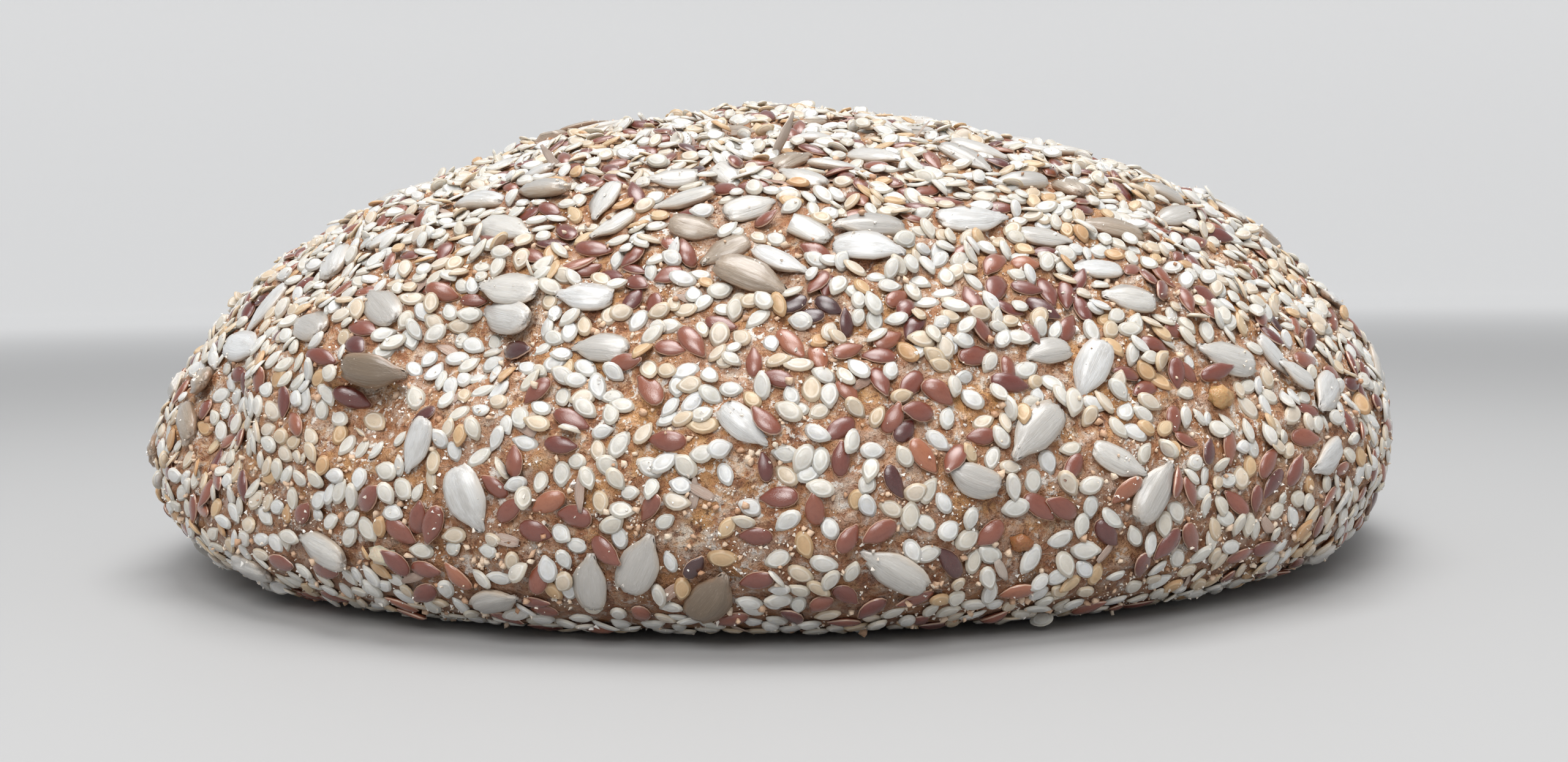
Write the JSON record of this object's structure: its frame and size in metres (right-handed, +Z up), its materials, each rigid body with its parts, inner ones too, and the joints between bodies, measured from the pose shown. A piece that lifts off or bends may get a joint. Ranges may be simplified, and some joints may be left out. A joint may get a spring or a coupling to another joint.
{
  "type": "seeded boule",
  "caption": "Low round loaf of dense bread, its crust covered all over with mixed seeds, standing on a small flat foot.",
  "frame": {"origin": "middle of the flat foot that the loaf rests on", "axes": "+X across the loaf to the viewer's right, +Y away from the front that the picture shows, +Z up"},
  "size_m": [0.2207, 0.2127, 0.0805],
  "materials": {
    "crust": "dry, crumbly baked crust, tan with paler flour and darker cracks",
    "pale_seed": "dry ivory to grey-cream seed, softly satin",
    "brown_seed": "smooth glossy reddish-brown seed coat"
  },
  "bodies": {
    "root": {"loaf": "crust"}
  },
  "joints": []
}
